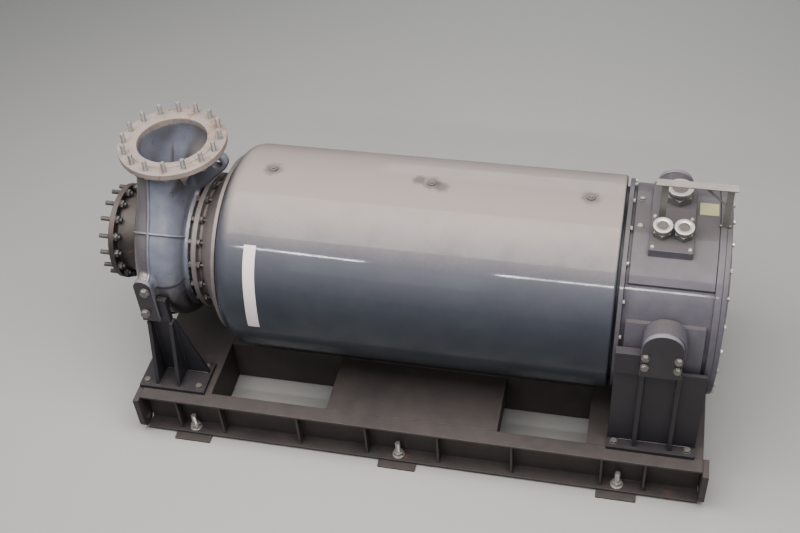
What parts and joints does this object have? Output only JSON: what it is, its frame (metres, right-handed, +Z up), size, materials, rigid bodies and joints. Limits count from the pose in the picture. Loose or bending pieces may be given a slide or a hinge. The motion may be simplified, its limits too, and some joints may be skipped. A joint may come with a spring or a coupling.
{
  "type": "horizontal dry-installed centrifugal sewage pump set",
  "caption": "Horizontal sewage pump set: spiral casing with axial suction and top discharge flanges, jacket-cooled motor and cable head on a welded base frame.",
  "frame": {"origin": "middle of the footprint, at the underside of the anchor plates", "axes": "+X along the shaft from the suction flange to the motor end, +Z up, +Y to the rear"},
  "size_m": [3.1772, 1.4, 1.578],
  "materials": {
    "frame_paint": "dusty dark grey paint with rust",
    "support_paint": "semi-gloss dark grey paint, dusty on top",
    "cast_paint": "glossy blue-grey paint on cast iron",
    "jacket_paint": "glossy grey paint with a film of dust on top",
    "head_paint": "semi-gloss grey paint with a film of dust on top",
    "zinc": "zinc-plated, dusty",
    "gland_rubber": "matt black"
  },
  "bodies": {
    "root": {"longeron_front": "frame_paint", "longeron_rear": "frame_paint", "suction_cross_beam": "frame_paint", "motor_cross_beam": "frame_paint", "spine_beam": "frame_paint", "middle_plate_front": "frame_paint", "middle_plate_rear": "frame_paint", "corner_lug_suction_front": "frame_paint", "corner_lug_suction_rear": "frame_paint", "corner_lug_motor_front": "frame_paint", "corner_lug_motor_rear": "frame_paint", "casing_leg_front": "support_paint", "casing_leg_rear": "support_paint", "casing_clamp_plate_front": "support_paint", "casing_clamp_plate_rear": "support_paint", "motor_pedestal_front": "support_paint", "motor_pedestal_rear": "support_paint", "head_clamp_plate_front": "support_paint", "head_clamp_plate_rear": "support_paint", "suction_nozzle": "cast_paint", "spiral_casing": "cast_paint", "impeller": "cast_paint", "back_cover": "cast_paint", "bearing_bracket": "cast_paint", "cooling_jacket": "jacket_paint", "jacket_gap_ring": "head_paint", "head_flange": "head_paint", "connection_head": "head_paint", "end_cover": "head_paint", "entry_block": "head_paint", "anchor_1_front": "zinc", "anchor_1_rear": "zinc", "anchor_2_front": "zinc", "anchor_2_rear": "zinc", "anchor_3_front": "zinc", "anchor_3_rear": "zinc", "jacket_plug_1": "zinc", "jacket_plug_2": "zinc", "jacket_plug_3": "zinc", "cable_rack": "zinc", "cable_gland_left": "gland_rubber", "cable_gland_right": "gland_rubber", "cable_gland_rear": "gland_rubber"}
  },
  "joints": []
}
